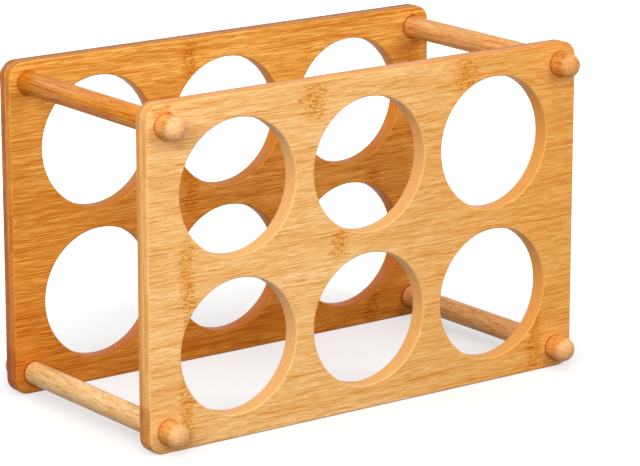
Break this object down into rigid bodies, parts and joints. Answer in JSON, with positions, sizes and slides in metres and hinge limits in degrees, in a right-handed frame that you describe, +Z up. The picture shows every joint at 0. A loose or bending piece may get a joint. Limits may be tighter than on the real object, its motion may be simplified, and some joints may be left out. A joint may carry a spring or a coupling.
{
  "type": "wine rack",
  "caption": "Free-standing bamboo wine rack: upright front and rear boards with round bottle holes, held apart by round rods that domed screw-on knobs fasten.",
  "frame": {"origin": "on the surface that the rack stands on, under the middle of its bounding box", "axes": "+X along the boards, to the right as seen from the front, +Y from the front board to the rear board, +Z up"},
  "size_m": [0.33, 0.1946, 0.215],
  "materials": {
    "board_bamboo": "clear satin lacquer over fine horizontal bamboo grain with darker knuckle bands",
    "rod_bamboo": "clear satin lacquer over bamboo grain that runs along the rod",
    "knob_bamboo": "clear satin lacquer on a softly polished dome",
    "stud_steel": "bright zinc plating",
    "insert_brass": "turned and bare"
  },
  "bodies": {
    "root": {"front_panel": "board_bamboo", "rear_panel": "board_bamboo", "rod_top_left": "rod_bamboo", "rod_top_right": "rod_bamboo", "rod_bottom_left": "rod_bamboo", "rod_bottom_right": "rod_bamboo", "knob_front_top_left": "knob_bamboo", "knob_front_top_right": "knob_bamboo", "knob_front_bottom_left": "knob_bamboo", "knob_front_bottom_right": "knob_bamboo", "knob_rear_top_left": "knob_bamboo", "knob_rear_top_right": "knob_bamboo", "knob_rear_bottom_left": "knob_bamboo", "knob_rear_bottom_right": "knob_bamboo", "stud_front_top_left": "stud_steel", "stud_front_top_right": "stud_steel", "stud_front_bottom_left": "stud_steel", "stud_front_bottom_right": "stud_steel", "stud_rear_top_left": "stud_steel", "stud_rear_top_right": "stud_steel", "stud_rear_bottom_left": "stud_steel", "stud_rear_bottom_right": "stud_steel", "insert_front_top_left": "insert_brass", "insert_front_top_right": "insert_brass", "insert_front_bottom_left": "insert_brass", "insert_front_bottom_right": "insert_brass", "insert_rear_top_left": "insert_brass", "insert_rear_top_right": "insert_brass", "insert_rear_bottom_left": "insert_brass", "insert_rear_bottom_right": "insert_brass"}
  },
  "joints": []
}
